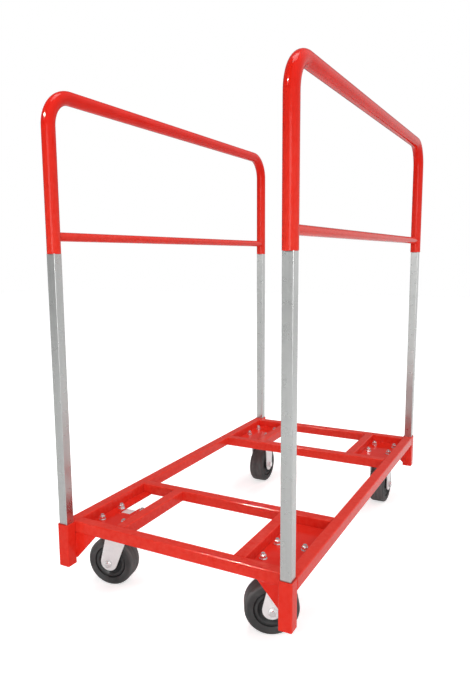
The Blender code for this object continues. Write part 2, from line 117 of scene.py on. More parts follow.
def new_tree(name, kind, inputs, output):
    """An empty node group with named sockets, the sockets that it is given and its output node."""
    tree = bpy.data.node_groups.new(name, kind)
    for direction, sockets in (("INPUT", inputs), ("OUTPUT", [output])):
        for label, socket_kind, *value in sockets:
            made = tree.interface.new_socket(label, in_out=direction, socket_type="NodeSocket" + socket_kind)
            if value:
                made.default_value = value[0]
    return tree, tree.nodes.new("NodeGroupInput").outputs, tree.nodes.new("NodeGroupOutput")


def cloud_group():
    """Cloudy variation between two values, in features a metre, stretched along any axis and shifted."""
    inputs = [("Scale", "Float", 10), ("Stretch", "Vector", (1, 1, 1)), ("Shift", "Vector", (0, 0, 0))]
    inputs += [("Low", "Float", 0), ("High", "Float", 1)]
    tree, given, end = new_tree("cloudy_variation", "ShaderNodeTree", inputs, ("Value", "Float"))
    place = {0: on_object(tree), 1: given["Stretch"], 2: given["Shift"]}
    place = add_node(tree, "ShaderNodeVectorMath", place, operation="MULTIPLY_ADD")
    cloud = noise(tree, place, given["Scale"], 4, cloud_roughness)
    feed(tree, end, {"Value": rescaled(tree, cloud, cloud_range, (given["Low"], given["High"]))})
    return tree


def edge_group():
    """Mask of the outer edges, broken up by noise, where a coat lies thin or has rubbed."""
    inputs = [("Amount", "Float"), ("Break Up Scale", "Float", 90)]
    tree, given, end = new_tree("thin_edges", "ShaderNodeTree", inputs, ("Mask", "Float"))
    edges = rescaled(tree, add_node(tree, "ShaderNodeNewGeometry", output="Pointiness"), thin_edge_range)
    rubbed = calc(tree, "MULTIPLY", edges, noise(tree, on_object(tree), given["Break Up Scale"], 3))
    feed(tree, end, {"Mask": calc(tree, "MULTIPLY", rubbed, given["Amount"], clamp=True)})
    return tree


def dust_group():
    """Mask of the dust that settles on faces that look up."""
    inputs = [("Amount", "Float"), ("Patch Scale", "Float", 25)]
    tree, given, end = new_tree("settled_dust", "ShaderNodeTree", inputs, ("Mask", "Float"))
    normal = add_node(tree, "ShaderNodeNewGeometry", output="Normal")
    upward = rescaled(tree, add_node(tree, "ShaderNodeSeparateXYZ", {0: normal}, "Z"), dusty_slope)
    patches = rescaled(tree, noise(tree, on_object(tree), given["Patch Scale"], 6), dusty_patches)
    lying = calc(tree, "MULTIPLY", upward, patches)
    feed(tree, end, {"Mask": calc(tree, "MULTIPLY", lying, given["Amount"], clamp=True)})
    return tree


cloudy = cloud_group()
thin_edges = edge_group()
settled_dust = dust_group()


def new_material(name):
    """A named material, its node tree and its Principled shader."""
    material = bpy.data.materials.new(name)
    material.use_nodes = True
    tree = material.node_tree
    return material, tree, tree.nodes["Principled BSDF"]


def use_effect(tree, group, inputs):
    """The output of a shader node group placed in a material."""
    return add_node(tree, "ShaderNodeGroup", inputs, node_tree=group)


def clouds(tree, scale, limits=(0, 1), stretch=(1, 1, 1), shift=(0, 0, 0)):
    """Cloudy variation in a material, between two limits."""
    inputs = {"Scale": scale, "Stretch": stretch, "Shift": shift, "Low": limits[0], "High": limits[1]}
    return use_effect(tree, cloudy, inputs)


def mixed(tree, factor, first, second):
    """Colour between first and second by a factor socket."""
    return add_node(tree, "ShaderNodeMix", {0: factor, 6: first, 7: second}, 2, data_type="RGBA")


def bumped(tree, height, distance):
    """The normal of a face with a fine relief."""
    return add_node(tree, "ShaderNodeBump", {"Height": height, "Distance": distance, "Strength": 1.0})


def powder_coat():
    """Gloss red powder coat: faint clouding, orange peel, thin edges and a trace of dust."""
    material, tree, shader = new_material("red_powder_coat")
    colour = mixed(tree, clouds(tree, cloud_scale), paint_bright, paint_deep)
    colour = mixed(tree, use_effect(tree, thin_edges, {"Amount": paint_wear}), colour, paint_thin)
    colour = mixed(tree, use_effect(tree, settled_dust, {"Amount": paint_dust}), colour, dust_colour)
    feed(tree, shader, {
        "Base Color": colour,
        "Roughness": clouds(tree, gloss_scale, paint_gloss),
        "Specular IOR Level": paint_specular,
        "Normal": bumped(tree, clouds(tree, peel_scale), peel_depth),
    })
    return material


red_paint = powder_coat()


def nodes_named(*starts):
    """The frame's nodes whose names start so, in order."""
    return sorted(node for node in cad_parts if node.startswith(starts))


def rounded_rectangle(width, depth, radius, steps=corner_steps):
    """An outline round the origin, a quarter turn at each corner."""
    points = []
    for quarter in range(4):
        sign_x = 1 if quarter in (0, 3) else -1
        sign_y = 1 if quarter in (0, 1) else -1
        centre_x = sign_x * (width / 2 - radius)
        centre_y = sign_y * (depth / 2 - radius)
        for step in range(steps + 1):
            angle = (quarter + step / steps) * math.pi / 2
            points.append((centre_x + radius * math.cos(angle), centre_y + radius * math.sin(angle)))
    return points


def circle(radius, sides):
    turn = 2 * math.pi / sides
    return [(radius * math.cos(step * turn), radius * math.sin(step * turn)) for step in range(sides)]


def skin_rings(rings, closed_loop):
    """Faces over rings of equal point count, capped at both ends unless the run loops."""
    shape = bmesh.new()
    loops = [[shape.verts.new(point) for point in ring] for ring in rings]
    pairs = list(zip(loops, loops[1:]))
    if closed_loop:
        pairs.append((loops[-1], loops[0]))
    else:
        shape.faces.new(loops[0])
        shape.faces.new(loops[-1])
    for near, far in pairs:
        for step in range(len(near)):
            after = (step + 1) % len(near)
            shape.faces.new((near[step], near[after], far[after], far[step]))
    return shape


def mesh_of(name, shape):
    """A mesh made of a shape, its faces turned outward."""
    bmesh.ops.recalc_face_normals(shape, faces=shape.faces)
    mesh = bpy.data.meshes.new(name)
    shape.to_mesh(mesh)
    shape.free()
    return mesh


def smooth(mesh):
    """Shade a mesh smooth up to its creases."""
    mesh.shade_smooth()
    mesh.set_sharp_from_angle(angle=crease_angle)


def stand(name, data):
    """A named object in the scene."""
    item = bpy.data.objects.new(name, data)
    bpy.context.scene.collection.objects.link(item)
    return item


def solid(name, shape, material):
    """A named, smooth-shaded object whose flat faces stay flat up to their rounded edges."""
    mesh = mesh_of(name, shape)
    mesh.materials.append(material)
    smooth(mesh)
    item = stand(name, mesh)
    item.modifiers.new("flat_faces", "WEIGHTED_NORMAL").keep_sharp = True
    return item


def square_tube(low, high, wall, radius, growth):
    """A square tube along the longest side of a box, grown at each end."""
    reach = high - low
    along = max(range(3), key=lambda axis: reach[axis])
    first, second = [axis for axis in range(3) if axis != along]
    centre = (low + high) / 2
    width, depth = reach[first], reach[second]
    outer = rounded_rectangle(width, depth, radius)
    inner = rounded_rectangle(width - 2 * wall, depth - 2 * wall, max(radius - wall, radius / 4))
    rings = []
    for end, outline in ((low, outer), (high, outer), (high, inner), (low, inner)):
        ring = []
        for across, up in outline:
            point = centre.copy()
            point[along] = end[along] + (growth if end is high else -growth)
            point[first] += across
            point[second] += up
            ring.append(point)
        rings.append(ring)
    return skin_rings(rings, True)


rail_nodes = nodes_named("side_rail", "end_rail", "cross_member", "bay_member")
for node in rail_nodes:
    low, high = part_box(node)
    rail = solid("tube_" + node, square_tube(low, high, rail_wall, rail_corner_radius, weld_gap), red_paint)
    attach(rail, "cart")
    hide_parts(node)

# Bay plates and gussets
# Flat 5 mm steel plate with burred edges rounded by the coat: one plate in each corner bay, drilled for
# the caster's four bolts, and one triangular gusset under the end rail behind each pocket.

merge_distance = 0.00001
flat_angle = math.radians(1)
edge_angle = math.radians(50)
edge_steps = 2
round_profile = 0.5
plate_edge_radius = 0.0006
gusset_edge_radius = 0.0008


def joined(shape):
    """The shape with its doubles merged and its coplanar faces joined."""
    bmesh.ops.remove_doubles(shape, verts=shape.verts, dist=merge_distance)
    bmesh.ops.dissolve_limit(shape, angle_limit=flat_angle, verts=shape.verts, edges=shape.edges)
    return shape


def round_edges(shape, radius):
    """Round every sharp edge of a shape."""
    sharp = [edge for edge in shape.edges if edge.is_manifold and edge.calc_face_angle() > edge_angle]
    bmesh.ops.bevel(
        shape, geom=sharp, offset=radius, segments=edge_steps, profile=round_profile,
        affect="EDGES", clamp_overlap=True,
    )
    return shape


for node in nodes_named("bay_plate", "pocket_gusset"):
    shape = bmesh.new()
    shape.from_mesh(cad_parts[node].data)
    radius = plate_edge_radius if node.startswith("bay_plate") else gusset_edge_radius
    plate = solid("plate_" + node, round_edges(joined(shape), radius), red_paint)
    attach(plate, "cart")
    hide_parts(node)

# Post pockets
# Square tube hung from each corner of the deck, open at the top for the hoop's post and closed at the
# foot by a welded plate, with the sawn ends dressed round.

pocket_wall = 0.0028
pocket_corner_radius = 0.0035
pocket_floor = 0.003
pocket_edge_radius = 0.0006
bore_corner_radius = 0.0008


def stack(sections):
    """A body of sections on one axis; each section is a height and an outline."""
    return skin_rings([[(x, y, height) for x, y in outline] for height, outline in sections], False)


def moved(shape, matrix):
    """The shape after a move or a turn."""
    bmesh.ops.transform(shape, matrix=matrix, verts=shape.verts)
    return shape


def plan_move(centre):
    """The level move from the origin to above or below a point."""
    return Matrix.Translation((centre.x, centre.y, 0))


for node in nodes_named("post_pocket"):
    low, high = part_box(node)
    size = high.x - low.x
    bore = size - 2 * pocket_wall
    ease = pocket_edge_radius
    outer = rounded_rectangle(size, size, pocket_corner_radius)
    outer_eased = rounded_rectangle(size - 2 * ease, size - 2 * ease, pocket_corner_radius - ease)
    inner = rounded_rectangle(bore, bore, bore_corner_radius)
    inner_eased = rounded_rectangle(bore + ease, bore + ease, bore_corner_radius + ease / 2)
    sections = [(low.z, outer_eased), (low.z + ease, outer), (high.z - ease, outer), (high.z, outer_eased)]
    sections += [(high.z, inner_eased), (high.z - ease / 2, inner), (low.z + pocket_floor, inner)]
    pocket = solid("pocket_" + node, moved(stack(sections), plan_move((low + high) / 2)), red_paint)
    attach(pocket, "cart")
    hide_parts(node)

# Hoops
# Round steel tube, bent to 90 degrees twice on one radius and sawn square at both feet, with a thinner
# round bar coped and welded between the legs, red powder coat all over.

hoop_wall = 0.002
hoop_bend_radius = 0.076
hoop_sides = 48
bend_steps = 18
low_bar_wall = 0.0018
low_bar_sides = 32


def hoop_stations(leg_y, foot, top_centre):
    """Centres and tangents up one leg, over the two bends and down the other leg."""
    bend_y = leg_y - hoop_bend_radius
    bend_z = top_centre - hoop_bend_radius
    stations = [((-leg_y, foot), (0, 1))]
    for sign, start in ((-1, math.pi), (1, math.pi / 2)):
        for step in range(bend_steps + 1):
            angle = start - step / bend_steps * math.pi / 2
            out, rise = math.cos(angle), math.sin(angle)
            centre = (sign * bend_y + hoop_bend_radius * out, bend_z + hoop_bend_radius * rise)
            stations.append((centre, (rise, -out)))
    stations.append(((leg_y, foot), (0, -1)))
    return stations


hoops = {}
for side in ("left", "right"):
    low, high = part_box("hoop_tube_" + side)
    tube_radius = (high.x - low.x) / 2
    hoop_x = (low.x + high.x) / 2
    leg_y = high.y - tube_radius
    stations = hoop_stations(leg_y, low.z, high.z - tube_radius)
    rings = []
    for radius, step in ((tube_radius, 1), (tube_radius - hoop_wall, -1)):
        section = circle(radius, hoop_sides)
        layer = []
        for (y, z), (along_y, along_z) in stations:
            layer.append([(hoop_x + across, y - up * along_z, z + up * along_y) for across, up in section])
        rings += layer[::step]
    hoop = solid("bent_hoop_" + side, skin_rings(rings, True), red_paint)
    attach(hoop, "hoop_" + side)
    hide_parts("hoop_tube_" + side)

    bar_low, bar_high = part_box("hoop_low_bar_" + side)
    bar_radius = (bar_high.z - bar_low.z) / 2
    bar_z = (bar_low.z + bar_high.z) / 2
    hoops[side] = (hoop_x, leg_y, low.z, tube_radius, bar_z, bar_radius)
    bore_radius = bar_radius - low_bar_wall
    rings = []
    for radius, end in ((bar_radius, -1), (bar_radius, 1), (bore_radius, 1), (bore_radius, -1)):
        ring = []
        for across, up in circle(radius, low_bar_sides):
            coped_y = leg_y - math.sqrt(tube_radius**2 - across**2)
            ring.append((hoop_x + across, end * coped_y, bar_z + up))
        rings.append(ring)
    bar = solid("low_bar_" + side, skin_rings(rings, True), red_paint)
    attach(bar, "hoop_" + side)
    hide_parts("hoop_low_bar_" + side)

# Hoop posts
# Bare galvanised square tube, one under each hoop leg, welded to the leg's foot and dropped into its
# pocket: dull grey zinc with faint crystals and drawn streaks along the tube.

post_wall = 0.002
post_corner_radius = 0.0018
zinc_grey = (0.50, 0.51, 0.50, 1)
zinc_pale = (0.63, 0.64, 0.635, 1)
crystal_scale = 150.0
crystal_share = 0.10
streak_stretch = (260, 260, 6)
streak_share = 0.22
streak_depth = 0.000008
post_gloss = (0.27, 0.29)
post_gloss_scale = 60.0
clear_gloss = 0.2
clear_refraction = 1.6


def galvanised():
    """Dull zinc: crystals a few millimetres wide, drawn streaks and a soft mottle."""
    material, tree, shader = new_material("galvanised_post")
    crystals = {"Vector": on_object(tree), "Scale": crystal_scale}
    crystals = add_node(tree, "ShaderNodeTexVoronoi", crystals, "Color")
    crystals = add_node(tree, "ShaderNodeSeparateColor", {0: crystals})
    streaks = clouds(tree, 1, stretch=streak_stretch)
    tone = calc(tree, "MULTIPLY", crystals, crystal_share)
    tone = calc(tree, "MULTIPLY_ADD", streaks, streak_share, tone)
    feed(tree, shader, {
        "Base Color": mixed(tree, tone, zinc_grey, zinc_pale),
        "Metallic": 1.0,
        "Roughness": clouds(tree, post_gloss_scale, post_gloss),
        "Coat Weight": 1.0,
        "Coat Roughness": clear_gloss,
        "Coat IOR": clear_refraction,
        "Normal": bumped(tree, streaks, streak_depth),
    })
    return material


post_zinc = galvanised()
for node in nodes_named("hoop_post"):
    low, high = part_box(node)
    post = solid("post_" + node, square_tube(low, high, post_wall, post_corner_radius, 0), post_zinc)
    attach(post, "hoop_left" if node.endswith("left") else "hoop_right")
    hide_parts(node)

# Weld beads
# Short arc welds under the coat: round each butted rail end but not on the deck's top, in stitches along
# the bay plates, beside the gussets, under each hoop foot and round the ends of the low bars.

bead_radius = 0.0019
bead_inset = 0.0012
small_bead_radius = 0.0015
bead_sides = 10
ripple_length = 0.0026
ripple_depth = 0.16
ripple_points = 4
bead_wander = 0.6
stitch_length = 0.032
stitch_share = 0.22
gusset_foot_inset = 0.004
gusset_bead_inset = 0.006
seam_sides = 40


def drawn(tree, low, high, seed):
    """A random value for each point."""
    return add_node(tree, "FunctionNodeRandomValue", {2: low, 3: high, "Seed": seed}, 1, data_type="FLOAT")


def swept(tree, curve, sides, radius):
    """A round bar along a curve, closed at its ends."""
    section = add_node(tree, "GeometryNodeCurvePrimitiveCircle", {"Resolution": sides, "Radius": radius})
    inputs = {"Curve": curve, "Profile Curve": section, "Fill Caps": True}
    return add_node(tree, "GeometryNodeCurveToMesh", inputs)


def finished(tree, given, end, geometry):
    """The tree, its result made plain geometry in the given material."""
    real = add_node(tree, "GeometryNodeRealizeInstances", {"Geometry": geometry})
    made = add_node(tree, "GeometryNodeSetMaterial", {"Geometry": real, "Material": given["Material"]})
    feed(tree, end, {0: made})
    return tree


def bead_tree():
    """Weld beads swept along the edges of a mesh, with an even ripple and a little wander."""
    inputs = [("Seams", "Geometry"), ("Material", "Material"), ("Seed", "Int", 3)]
    inputs += [(label, "Float") for label in ("Bead Radius", "Ripple Length", "Ripple Depth")]
    tree, given, end = new_tree("weld_bead", "GeometryNodeTree", inputs, ("Beads", "Geometry"))
    spacing = calc(tree, "DIVIDE", given["Ripple Length"], ripple_points)
    walked = {"Curve": add_node(tree, "GeometryNodeMeshToCurve", {"Mesh": given["Seams"]}), "Length": spacing}
    walked = add_node(tree, "GeometryNodeResampleCurve", walked, mode="LENGTH")
    run = add_node(tree, "GeometryNodeSplineParameter", output="Length")
    turns = calc(tree, "DIVIDE", run, given["Ripple Length"])
    wave = calc(tree, "SINE", calc(tree, "MULTIPLY", turns, 2 * math.pi))
    rough = calc(tree, "ADD", wave, drawn(tree, -bead_wander, bead_wander, given["Seed"]))
    swollen = {"Curve": walked, "Radius": calc(tree, "MULTIPLY_ADD", rough, given["Ripple Depth"], 1)}
    swollen = add_node(tree, "GeometryNodeSetCurveRadius", swollen)
    return finished(tree, given, end, swept(tree, swollen, bead_sides, given["Bead Radius"]))


def grow(name, source, tree, values):
    """Run a geometry tree on a mesh and keep the result as a plain, smooth-shaded object."""
    carrier = stand(name + "_carrier", source)
    modifier = carrier.modifiers.new(tree.name, "NODES")
    modifier.node_group = tree
    for label, value in values.items():
        modifier[tree.interface.items_tree[label].identifier] = value
    grown = carrier.evaluated_get(bpy.context.evaluated_depsgraph_get())
    mesh = bpy.data.meshes.new_from_object(grown)
    mesh.name = name
    bpy.data.objects.remove(carrier)
    shape = bmesh.new()
    shape.from_mesh(mesh)
    bmesh.ops.dissolve_degenerate(shape, dist=merge_distance, edges=shape.edges)
    shape.to_mesh(mesh)
    shape.free()
    smooth(mesh)
    return stand(name, mesh)


def seam_mesh(name, seams):
    """A mesh of loose edges, one run for each seam."""
    points = []
    edges = []
    for seam in seams:
        edges += [(len(points) + step, len(points) + step + 1) for step in range(len(seam) - 1)]
        points += seam
    mesh = bpy.data.meshes.new(name)
    mesh.from_pydata(points, edges, [])
    return mesh


def rail_end_seams(node):
    """At each end of a rail, down one side, along the bottom and up the other side."""
    low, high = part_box(node)
    reach = high - low
    along = 0 if reach.x > reach.y else 1
    across = 1 - along
    centre = (low[across] + high[across]) / 2
    inset = 2 * bead_inset
    section = rounded_rectangle(reach[across] - inset, reach.z - inset, rail_corner_radius)
    lower_half = section[len(section) // 2 :]
    shoulder = reach.z / 2 - rail_corner_radius
    run = [(lower_half[0][0], shoulder)] + lower_half + [(lower_half[-1][0], shoulder)]
    seams = []
    for place in (low[along], high[along]):
        seam = []
        for aside, up in run:
            point = Vector((0, 0, (low.z + high.z) / 2 + up))
            point[along] = place
            point[across] = centre + aside
            seam.append(point)
        seams.append(seam)
    return seams


def stitch(start, end):
    """Two weld stitches set in from the ends of an edge."""
    start, end = Vector(start), Vector(end)
    way = end - start
    half = way.normalized() * stitch_length / 2
    middles = [start + way * share for share in (stitch_share, 1 - stitch_share)]
    return [[middle - half, middle + half] for middle in middles]


def closed_circle(radius):
    """The points round a circle, the first one again at the end."""
    return circle(radius, seam_sides) + [(radius, 0)]


body_seams = {"cart": []}
deck_seams = body_seams["cart"]
for node in rail_nodes:
    deck_seams += rail_end_seams(node)
for node in nodes_named("bay_plate", "pocket_gusset"):
    low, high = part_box(node)
    inner_x, outer_x = sorted((low.x, high.x), key=abs)
    inner_y, outer_y = sorted((low.y, high.y), key=abs)
    top = high.z
    if node.startswith("bay_plate"):
        corner = (outer_x, outer_y, top)
        deck_seams += stitch((outer_x, inner_y, top), corner)
        deck_seams += stitch((inner_x, outer_y, top), corner)
        stitch_end = (inner_x, outer_y - math.copysign(stitch_length, outer_y), top)
        deck_seams.append([(inner_x, outer_y, top), stitch_end])
    else:
        pocket_low, pocket_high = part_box(node.replace("pocket_gusset", "post_pocket"))
        pocket_x = min(pocket_low.x, pocket_high.x, key=abs)
        for y in (low.y, high.y):
            foot = (pocket_x, y, low.z + gusset_foot_inset)
            deck_seams.append([foot, (pocket_x, y, top - gusset_bead_inset)])
        ground_y = outer_y - math.copysign(bead_radius, outer_y)
        ground_z = top + bead_radius / 2
        toe_x = inner_x + math.copysign(gusset_bead_inset, inner_x)
        deck_seams.append([(inner_x, ground_y, ground_z), (pocket_x, ground_y, ground_z)])
        deck_seams.append([(toe_x, inner_y, top), (pocket_x, inner_y, top)])

for side, (hoop_x, leg_y, foot_z, tube_radius, bar_z, bar_radius) in hoops.items():
    seams = []
    for sign in (-1, 1):
        foot = closed_circle(tube_radius - small_bead_radius)
        seams.append([(hoop_x + across, sign * leg_y + up, foot_z) for across, up in foot])
        cope = []
        for across, up in closed_circle(bar_radius):
            y = sign * (leg_y - math.sqrt(tube_radius**2 - across**2))
            cope.append((hoop_x + across, y, bar_z + up))
        seams.append(cope)
    body_seams["hoop_" + side] = seams

weld_bead = bead_tree()
for body, seams in body_seams.items():
    values = {"Ripple Length": ripple_length, "Ripple Depth": ripple_depth, "Material": red_paint}
    values["Bead Radius"] = bead_radius if body == "cart" else small_bead_radius
    beads = grow(body + "_weld_beads", seam_mesh(body + "_seams", seams), weld_bead, values)
    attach(beads, body)

# Caster housings
# Zinc-plated pressings. A swivel caster hangs a folded fork from its slotted top plate on a kingpin, with
# the raised cup of its ball race on the crown; a rigid caster has its folded legs welded to the plate.

plate_thickness = 0.005
plate_corner_radius = 0.009
long_pattern = (0.0667, 0.0921)
square_pattern = 0.0762
slot_width = 0.0107
slot_steps = 10
press_thickness = 0.0035
press_bend_radius = 0.007
leg_inner = 0.0285
leg_end_radius = 0.024
leg_end_rise = 0.0025
leg_end_steps = 32
axle_hole_radius = 0.00665
axle_hole_sides = 32
caster_trail = 0.030
crown_ahead = 0.030
crown_behind = 0.034
rigid_half_width = 0.032
head_height = 0.0285
head_rim_gap = 0.004
head_rim_radius = 0.041
head_rim_flare = 0.0035
head_rim_steps = 4
head_foot_radius = 0.0305
race_radius = 0.034
race_bore_radius = 0.0348
race_floor_height = 0.008
kingpin_radius = 0.0065
kingpin_hole_radius = 0.007
kingpin_nut_flats = 0.022
kingpin_nut_height = 0.008
press_edge_radius = 0.0007
press_steps = 6
round_sides = 64
overrun = 0.002
zinc_bright = (0.99, 0.99, 0.99, 1)
zinc_dull = (0.93, 0.94, 0.945, 1)
zinc_worn = (0.60, 0.60, 0.61, 1)
zinc_wear = 0.7
zinc_wear_scale = 200.0
zinc_dust = 0.06
zinc_dust_scale = 60.0
zinc_gloss_spread = 0.14
zinc_grain = (900, 900, 60)
zinc_grain_depth = 0.000015
press_mottle_scale = 45.0
press_gloss = 0.30
press_metallic = 0.5


def bright_zinc(name, mottle_scale, gloss, metallic):
    """Bright zinc plate: cloudy mottle, darker rubbed edges and fine drawing lines."""
    material, tree, shader = new_material(name)
    colour = mixed(tree, clouds(tree, mottle_scale), zinc_dull, zinc_bright)
    edges = use_effect(tree, thin_edges, {"Amount": zinc_wear, "Break Up Scale": zinc_wear_scale})
    colour = mixed(tree, edges, colour, zinc_worn)
    dust = use_effect(tree, settled_dust, {"Amount": zinc_dust, "Patch Scale": zinc_dust_scale})
    feed(tree, shader, {
        "Base Color": mixed(tree, dust, colour, dust_colour),
        "Metallic": metallic,
        "Roughness": clouds(tree, 3 * mottle_scale, (gloss, gloss + zinc_gloss_spread)),
        "Normal": bumped(tree, clouds(tree, 1, stretch=zinc_grain), zinc_grain_depth),
    })
    return material


press_zinc = bright_zinc("bright_zinc_press", press_mottle_scale, press_gloss, press_metallic)


def arc(centre, radius, start, end, steps):
    """Points along an arc, from the start angle to the end angle."""
    points = []
    for step in range(steps + 1):
        angle = start + (end - start) * step / steps
        points.append((centre[0] + radius * math.cos(angle), centre[1] + radius * math.sin(angle)))
    return points


def prism(outline, low, high):
    """A body with the outline's section from height low to height high."""
    return stack([(low, outline), (high, outline)])


def turned(profile, sides):
    """Revolve a closed profile of radius and height pairs about the upright axis."""
    rings = [[(x, y, height) for x, y in circle(radius, sides)] for radius, height in profile]
    return skin_rings(rings, True)


def carved(shape, steps):
    """The shape after Boolean steps, each an operation and the shape of its tool."""
    parts = [shape] + [tool for operation, tool in steps]
    made = [stand("carving", mesh_of("carving", part)) for part in parts]
    for (operation, tool), item in zip(steps, made[1:]):
        modifier = made[0].modifiers.new(operation.lower(), "BOOLEAN")
        modifier.operation = operation
        modifier.solver = "EXACT"
        modifier.object = item
    result = bmesh.new()
    result.from_mesh(made[0].evaluated_get(bpy.context.evaluated_depsgraph_get()).to_mesh())
    for item in made:
        bpy.data.objects.remove(item)
    return joined(result)


def slotted_plate(centre, low_z, size):
    """The caster's top plate as a body, and the Boolean steps that cut its four slots."""
    outline = rounded_rectangle(size.x, size.y, plate_corner_radius, press_steps)
    plate = moved(prism(outline, low_z, low_z + plate_thickness), plan_move(centre))
    steps = []
    for sign_x, sign_y in ((-1, -1), (-1, 1), (1, -1), (1, 1)):
        far = Vector((sign_x * long_pattern[0] / 2, sign_y * long_pattern[1] / 2))
        near = Vector((sign_x * square_pattern / 2, sign_y * square_pattern / 2))
        half = (near - far).length / 2
        outline = arc((half, 0), slot_width / 2, -math.pi / 2, math.pi / 2, slot_steps)
        outline += arc((-half, 0), slot_width / 2, math.pi / 2, 3 * math.pi / 2, slot_steps)
        slot = prism(outline, low_z - overrun, low_z + plate_thickness + overrun)
        turn = Matrix.Rotation(math.atan2(near.y - far.y, near.x - far.x), 4, "Z")
        steps.append(("DIFFERENCE", moved(slot, plan_move(centre.xy + (near + far) / 2) @ turn)))
    return plate, steps


def folded_legs(axle_z, top, ahead, behind, trail):
    """A strip folded over the wheel, and the steps that trim it to its side view and drill the axle hole."""
    outer = leg_inner + press_thickness
    inner_bend = press_bend_radius - press_thickness
    bend = (outer - press_bend_radius, top - press_bend_radius)
    foot = axle_z + leg_end_rise - leg_end_radius - overrun
    section = [(outer, foot)] + arc(bend, press_bend_radius, 0, math.pi / 2, press_steps)
    section += arc((-bend[0], bend[1]), press_bend_radius, math.pi / 2, math.pi, press_steps)
    section += [(-outer, foot), (-leg_inner, foot)]
    section += arc((-bend[0], bend[1]), inner_bend, math.pi, math.pi / 2, press_steps)
    section += arc(bend, inner_bend, math.pi / 2, 0, press_steps) + [(leg_inner, foot)]
    lay_down = Matrix(((0, 0, 1), (1, 0, 0), (0, 1, 0))).to_4x4()
    strip = prism(section, -ahead - overrun, max(behind, trail + leg_end_radius) + overrun)
    end = Vector((trail, axle_z + leg_end_rise))
    touch = []
    corners = (Vector((behind, top + overrun)), Vector((-ahead, top + overrun)))
    for corner, side in zip(corners, (-1, 1)):
        line = corner - end
        touch.append(math.atan2(line.y, line.x) + side * math.acos(leg_end_radius / line.length))
    view = [tuple(corner) for corner in corners]
    view += arc(end, leg_end_radius, touch[1], touch[0] + 2 * math.pi, leg_end_steps)
    stand_up = Matrix(((1, 0, 0), (0, 0, 1), (0, 1, 0))).to_4x4()
    side_view = moved(prism(view, -outer - overrun, outer + overrun), stand_up)
    drill = prism(circle(axle_hole_radius, axle_hole_sides), -outer - overrun, outer + overrun)
    drill = moved(moved(drill, stand_up), Matrix.Translation((trail, 0, axle_z)))
    return moved(strip, lay_down), [("INTERSECT", side_view), ("DIFFERENCE", drill)]


def swivel_fork(axle_z, crown_top, rim):
    """The folded fork with its race cup raised on the crown and the kingpin's hole through both."""
    strip, steps = folded_legs(axle_z, crown_top, crown_ahead, crown_behind, caster_trail)
    floor_z = crown_top + race_floor_height
    buried = crown_top - press_thickness / 2
    profile = [(kingpin_hole_radius, buried), (head_foot_radius, buried), (head_foot_radius, crown_top)]
    flare_centre = (head_rim_radius - head_rim_flare, floor_z + head_rim_flare)
    profile += arc(flare_centre, head_rim_flare, -math.pi / 4, 0, head_rim_steps)
    profile += [(head_rim_radius, rim), (race_bore_radius, rim)]
    profile += [(race_bore_radius, floor_z), (kingpin_hole_radius, floor_z)]
    cup = turned(profile, round_sides)
    hole = circle(kingpin_hole_radius, round_sides)
    hole = prism(hole, crown_top - 2 * press_thickness, floor_z + overrun)
    fork = carved(strip, steps + [("UNION", cup), ("DIFFERENCE", hole)])
    return round_edges(fork, press_edge_radius)


casters = {}
for corner in ("front_left", "front_right", "rear_left", "rear_right"):
    end, side = corner.split("_")
    kind = "caster_plate_" if end == "front" else "caster_bracket_"
    low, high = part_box(kind + corner)
    axle_low, axle_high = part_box("caster_wheel_" + corner)
    centre = (low + high) / 2
    wheel = (axle_low + axle_high) / 2
    heading = math.radians(90)
    if end == "front":
        heading = math.atan2(wheel.y - centre.y, wheel.x - centre.x)
    place = plan_move(centre) @ Matrix.Rotation(heading, 4, "Z")
    casters[corner] = (wheel, Matrix.Rotation(heading, 3, "Z") @ Vector((0, 1, 0)))
    underside = high.z - plate_thickness
    plate, cuts = slotted_plate(centre, underside, high - low)
    if end == "front":
        crown_top = underside - head_height
        race_end = crown_top + race_floor_height + weld_gap
        nut_top = crown_top - press_thickness - weld_gap
        pin_circle = circle(kingpin_radius, round_sides)
        race_circle = circle(race_radius, round_sides)
        pin = [(nut_top - kingpin_nut_height - overrun, pin_circle), (race_end, pin_circle)]
        pin = stack(pin + [(race_end, race_circle), (high.z - plate_thickness / 2, race_circle)])
        nut = circle(kingpin_nut_flats / 2 / math.cos(math.pi / 6), 6)
        nut = prism(nut, nut_top - kingpin_nut_height, nut_top)
        head = carved(plate, cuts + [("UNION", moved(shape, plan_move(centre))) for shape in (pin, nut)])
        fork = moved(swivel_fork(wheel.z, crown_top, underside - head_rim_gap), place)
        fork = solid("pressed_fork_" + corner, fork, press_zinc)
        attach(fork, "swivel_" + side)
        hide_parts("caster_fork_" + corner)
    else:
        top = underside + press_thickness / 2
        legs = carved(*folded_legs(wheel.z, top, rigid_half_width, rigid_half_width, 0))
        head = carved(plate, cuts + [("UNION", moved(legs, place))])
    head = solid("caster_head_" + corner, round_edges(head, press_edge_radius), press_zinc)
    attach(head, "cart")
    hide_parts(kind + corner)

# Wheels
# One moulded black tyre and core a caster, turned on a spacer sleeve: a flat tread with rounded shoulders
# and a parting line, a ring groove in each side and a raised hub round the bore.

